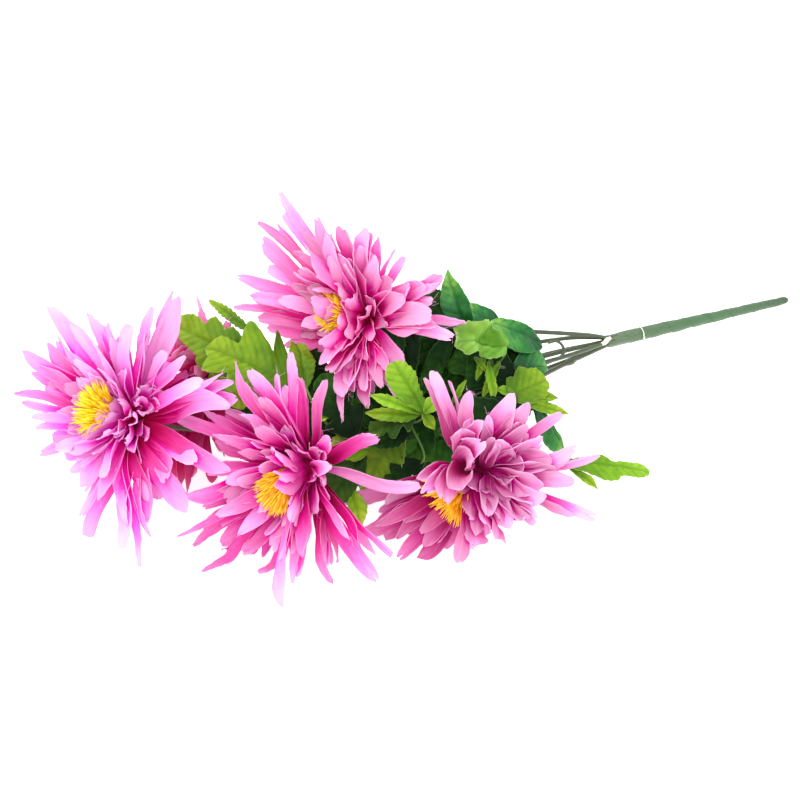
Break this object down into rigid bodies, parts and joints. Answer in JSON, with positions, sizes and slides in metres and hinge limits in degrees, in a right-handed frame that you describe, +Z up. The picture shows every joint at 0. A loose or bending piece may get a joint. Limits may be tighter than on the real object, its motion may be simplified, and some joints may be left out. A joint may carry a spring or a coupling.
{
  "type": "artificial chrysanthemum bunch",
  "caption": "Artificial chrysanthemum bunch lying on its side: pink fabric flower heads and green fabric leaves on wire stems gathered in a tape-wound handle.",
  "frame": {"origin": "on the table, under the middle of the box round the whole bunch", "axes": "+X along the bunch towards the handle's free end, +Z up from the table"},
  "size_m": [0.4952, 0.2894, 0.1619],
  "materials": {
    "petal_left": "stiffened woven polyester, lilac pink with deeper base and pale tip",
    "petal_front": "stiffened woven polyester, hot pink with pale tip",
    "petal_top": "stiffened woven polyester, pink with pale tip",
    "petal_right": "stiffened woven polyester, dusty mauve pink",
    "petal_back": "stiffened woven polyester, deep magenta",
    "stamen": "yellow filaments with rough tips",
    "calyx": "moulded green plastic",
    "leaf_lime": "stamped lime green fabric with pressed veins",
    "leaf_satin": "satin dark green fabric, lighter at the tip",
    "stem": "olive plastic coating over wire",
    "tape": "crepe paper florist's tape wound in a helix",
    "thread": "ivory thread and tape end"
  },
  "bodies": {
    "root": {"handle_wrap": "tape", "handle_core": "stem", "tie_ring": "thread", "glue_scrap": "thread", "stem_centre": "stem", "stem_top": "stem", "stem_back": "stem", "stem_front": "stem", "stem_right": "stem", "stem_leaf_high": "stem", "stem_leaf_low": "stem", "left_calyx": "calyx", "left_stamens": "stamen", "left_petals_1": "petal_left", "left_petals_2": "petal_left", "left_petals_3": "petal_left", "left_petals_4": "petal_left", "left_petals_5": "petal_left", "front_calyx": "calyx", "front_stamens": "stamen", "front_petals_1": "petal_front", "front_petals_2": "petal_front", "front_petals_3": "petal_front", "front_petals_4": "petal_front", "front_petals_5": "petal_front", "top_calyx": "calyx", "top_stamens": "stamen", "top_petals_1": "petal_top", "top_petals_2": "petal_top", "top_petals_3": "petal_top", "top_petals_4": "petal_top", "top_petals_5": "petal_top", "right_calyx": "calyx", "right_stamens": "stamen", "right_petals_1": "petal_right", "right_petals_2": "petal_right", "right_petals_3": "petal_right", "right_petals_4": "petal_right", "right_petals_5": "petal_right", "back_calyx": "calyx", "back_stamens": "stamen", "back_petals_1": "petal_back", "back_petals_2": "petal_back", "back_petals_3": "petal_back", "leaf_lime_left": "leaf_lime", "leaf_lime_lobed": "leaf_lime", "leaf_narrow_back": "leaf_lime", "leaf_small_round": "leaf_lime", "leaf_behind_front": "leaf_lime", "leaf_bright_middle": "leaf_lime", "leaf_narrow_middle": "leaf_lime", "leaf_low_front": "leaf_lime", "leaf_pale_crumpled": "leaf_lime", "leaf_toothed_right": "leaf_lime", "leaf_long_right": "leaf_lime", "leaf_dark_inner": "leaf_satin", "leaf_dark_low": "leaf_satin", "leaf_satin_tall": "leaf_satin", "leaf_satin_broad": "leaf_satin", "leaf_round_right": "leaf_satin"}
  },
  "joints": []
}
